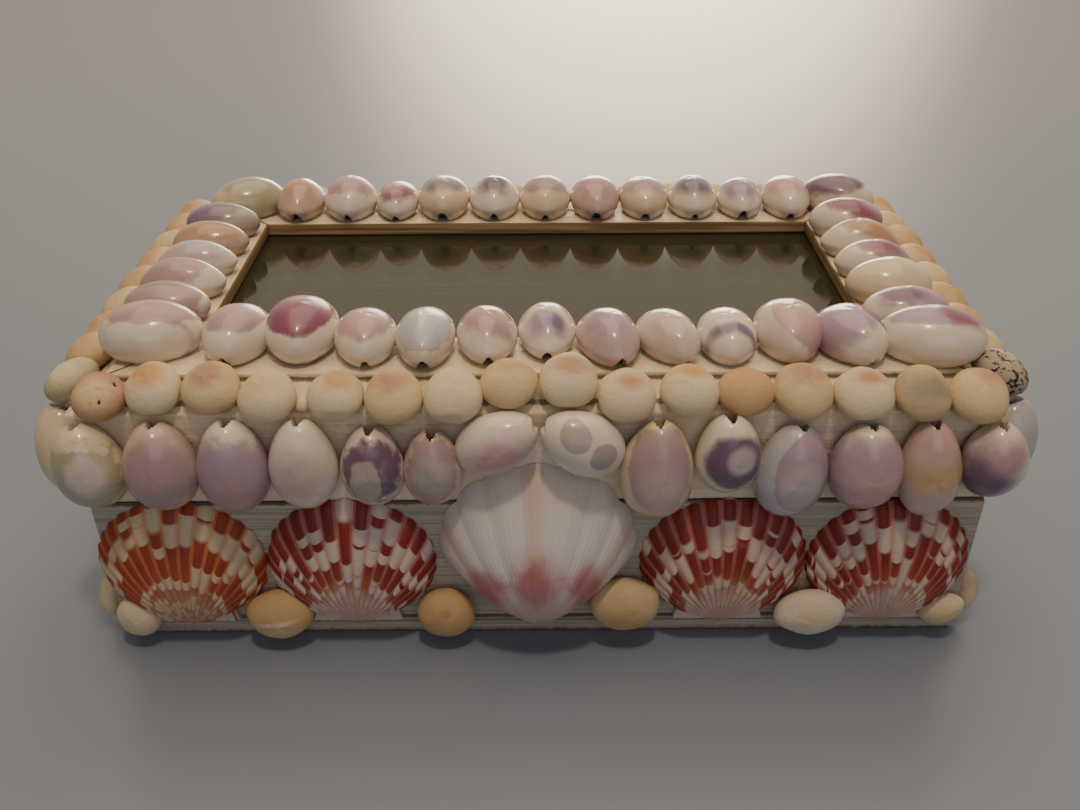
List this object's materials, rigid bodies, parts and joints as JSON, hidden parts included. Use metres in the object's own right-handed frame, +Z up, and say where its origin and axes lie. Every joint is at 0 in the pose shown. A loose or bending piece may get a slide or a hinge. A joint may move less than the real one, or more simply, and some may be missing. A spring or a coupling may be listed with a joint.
{
  "type": "shell box",
  "caption": "Wooden trinket box with a lift-off glazed lid, its outside covered with glued cowries, scallops and small sea shells.",
  "frame": {"origin": "centre of the wooden base's underside, on the surface the box stands on", "axes": "+Z up, +X to the right along the box's length as seen from its front, the front facing -Y"},
  "size_m": [0.2658, 0.1673, 0.0957],
  "materials": {
    "painted_wood": "aged cream paint, satin, with brush marks and dirty edges",
    "glass": "clear and polished, a little dusty",
    "cowrie_shell": "glossy natural shell, white to mauve, worn matt in patches",
    "scallop_shell": "satin natural shell, white with red to orange-brown streaks",
    "worn_shell": "matt, sea-worn, cream to orange-tan"
  },
  "bodies": {
    "root": {"base_front_wall": "painted_wood", "base_right_wall": "painted_wood", "base_back_wall": "painted_wood", "base_left_wall": "painted_wood", "base_bottom_board": "painted_wood", "lid_front_skirt": "painted_wood", "lid_right_skirt": "painted_wood", "lid_back_skirt": "painted_wood", "lid_left_skirt": "painted_wood", "lid_front_moulding": "painted_wood", "lid_right_moulding": "painted_wood", "lid_back_moulding": "painted_wood", "lid_left_moulding": "painted_wood", "lid_glass": "glass", "front_skirt_cowries": "cowrie_shell", "front_top_cowries": "cowrie_shell", "front_bevel_shells": "worn_shell", "right_skirt_cowries": "cowrie_shell", "right_top_cowries": "cowrie_shell", "right_bevel_shells": "worn_shell", "back_skirt_cowries": "cowrie_shell", "back_top_cowries": "cowrie_shell", "back_bevel_shells": "worn_shell", "left_skirt_cowries": "cowrie_shell", "left_top_cowries": "cowrie_shell", "left_bevel_shells": "worn_shell", "front_scallop_1": "scallop_shell", "front_scallop_2": "scallop_shell", "front_scallop_3": "scallop_shell", "front_scallop_4": "scallop_shell", "front_scallop_5": "scallop_shell", "right_scallop_1": "scallop_shell", "right_scallop_2": "scallop_shell", "right_scallop_3": "scallop_shell", "back_scallop_1": "scallop_shell", "back_scallop_2": "scallop_shell", "back_scallop_3": "scallop_shell", "back_scallop_4": "scallop_shell", "back_scallop_5": "scallop_shell", "left_scallop_1": "scallop_shell", "left_scallop_2": "scallop_shell", "left_scallop_3": "scallop_shell", "front_small_shell_1": "worn_shell", "front_small_shell_2": "worn_shell", "front_small_shell_3": "worn_shell", "front_small_shell_4": "worn_shell", "front_small_shell_5": "worn_shell", "front_small_shell_6": "worn_shell", "right_small_shell_1": "worn_shell", "right_small_shell_2": "worn_shell", "right_small_shell_3": "worn_shell", "back_small_shell_1": "worn_shell", "back_small_shell_2": "worn_shell", "back_small_shell_3": "worn_shell", "back_small_shell_4": "worn_shell", "back_small_shell_5": "worn_shell", "back_small_shell_6": "worn_shell", "left_small_shell_1": "worn_shell", "left_small_shell_2": "worn_shell", "left_small_shell_3": "worn_shell"}
  },
  "joints": []
}
